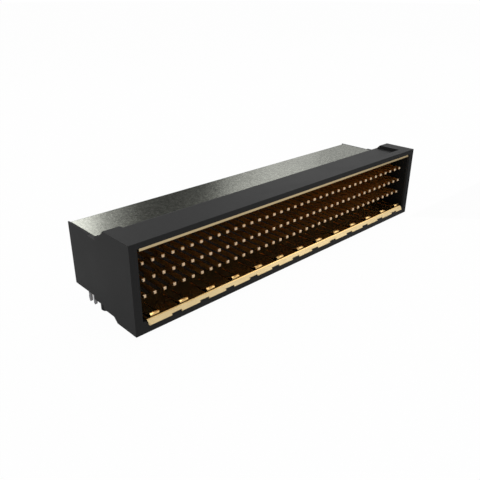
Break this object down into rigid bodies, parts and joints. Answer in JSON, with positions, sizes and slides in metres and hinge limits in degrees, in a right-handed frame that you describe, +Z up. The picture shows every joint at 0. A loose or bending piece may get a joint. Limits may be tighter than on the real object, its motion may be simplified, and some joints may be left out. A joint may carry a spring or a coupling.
{
  "type": "right-angle shrouded board header",
  "caption": "Right-angle shielded board header: a moulded shroud around rows of square gold contacts between two ground plates, with a folded rear shield, locating pegs and board locks.",
  "frame": {"origin": "on the board's surface, midway between the two locating pegs", "axes": "+X along the contact rows, +Y from the mating face to the back, +Z up, away from the board"},
  "size_m": [0.0508, 0.0133, 0.0112],
  "materials": {
    "housing_plastic": "black glass-filled moulding with a fine matt skin",
    "spacer_plastic": "black glass-filled moulding",
    "gold_plating": "gold-plated copper alloy strip, satin",
    "contact_gold": "gold-plated copper alloy wire, bright",
    "shield_metal": "matt silver-grey plated sheet, faintly mottled",
    "tin_plating": "matt tin plating"
  },
  "bodies": {
    "root": {"housing": "housing_plastic", "upper_ground_plate": "gold_plating", "lower_ground_plate": "gold_plating", "rear_shield": "shield_metal", "tail_spacer": "spacer_plastic", "left_board_lock": "tin_plating", "right_board_lock": "tin_plating", "contact_column_01": "contact_gold", "contact_column_02": "contact_gold", "contact_column_03": "contact_gold", "contact_column_04": "contact_gold", "contact_column_05": "contact_gold", "contact_column_06": "contact_gold", "contact_column_07": "contact_gold", "contact_column_08": "contact_gold", "contact_column_09": "contact_gold", "contact_column_10": "contact_gold", "contact_column_11": "contact_gold", "contact_column_12": "contact_gold", "contact_column_13": "contact_gold", "contact_column_14": "contact_gold", "contact_column_15": "contact_gold", "contact_column_16": "contact_gold", "contact_column_17": "contact_gold", "contact_column_18": "contact_gold", "contact_column_19": "contact_gold", "contact_column_20": "contact_gold", "contact_column_21": "contact_gold", "contact_column_22": "contact_gold", "contact_column_23": "contact_gold", "contact_column_24": "contact_gold", "contact_column_25": "contact_gold", "contact_column_26": "contact_gold", "contact_column_27": "contact_gold", "contact_column_28": "contact_gold", "contact_column_29": "contact_gold", "contact_column_30": "contact_gold", "contact_column_31": "contact_gold", "contact_column_32": "contact_gold", "contact_column_33": "contact_gold", "contact_column_34": "contact_gold", "contact_column_35": "contact_gold", "contact_column_36": "contact_gold", "contact_column_37": "contact_gold", "contact_column_38": "contact_gold"}
  },
  "joints": []
}
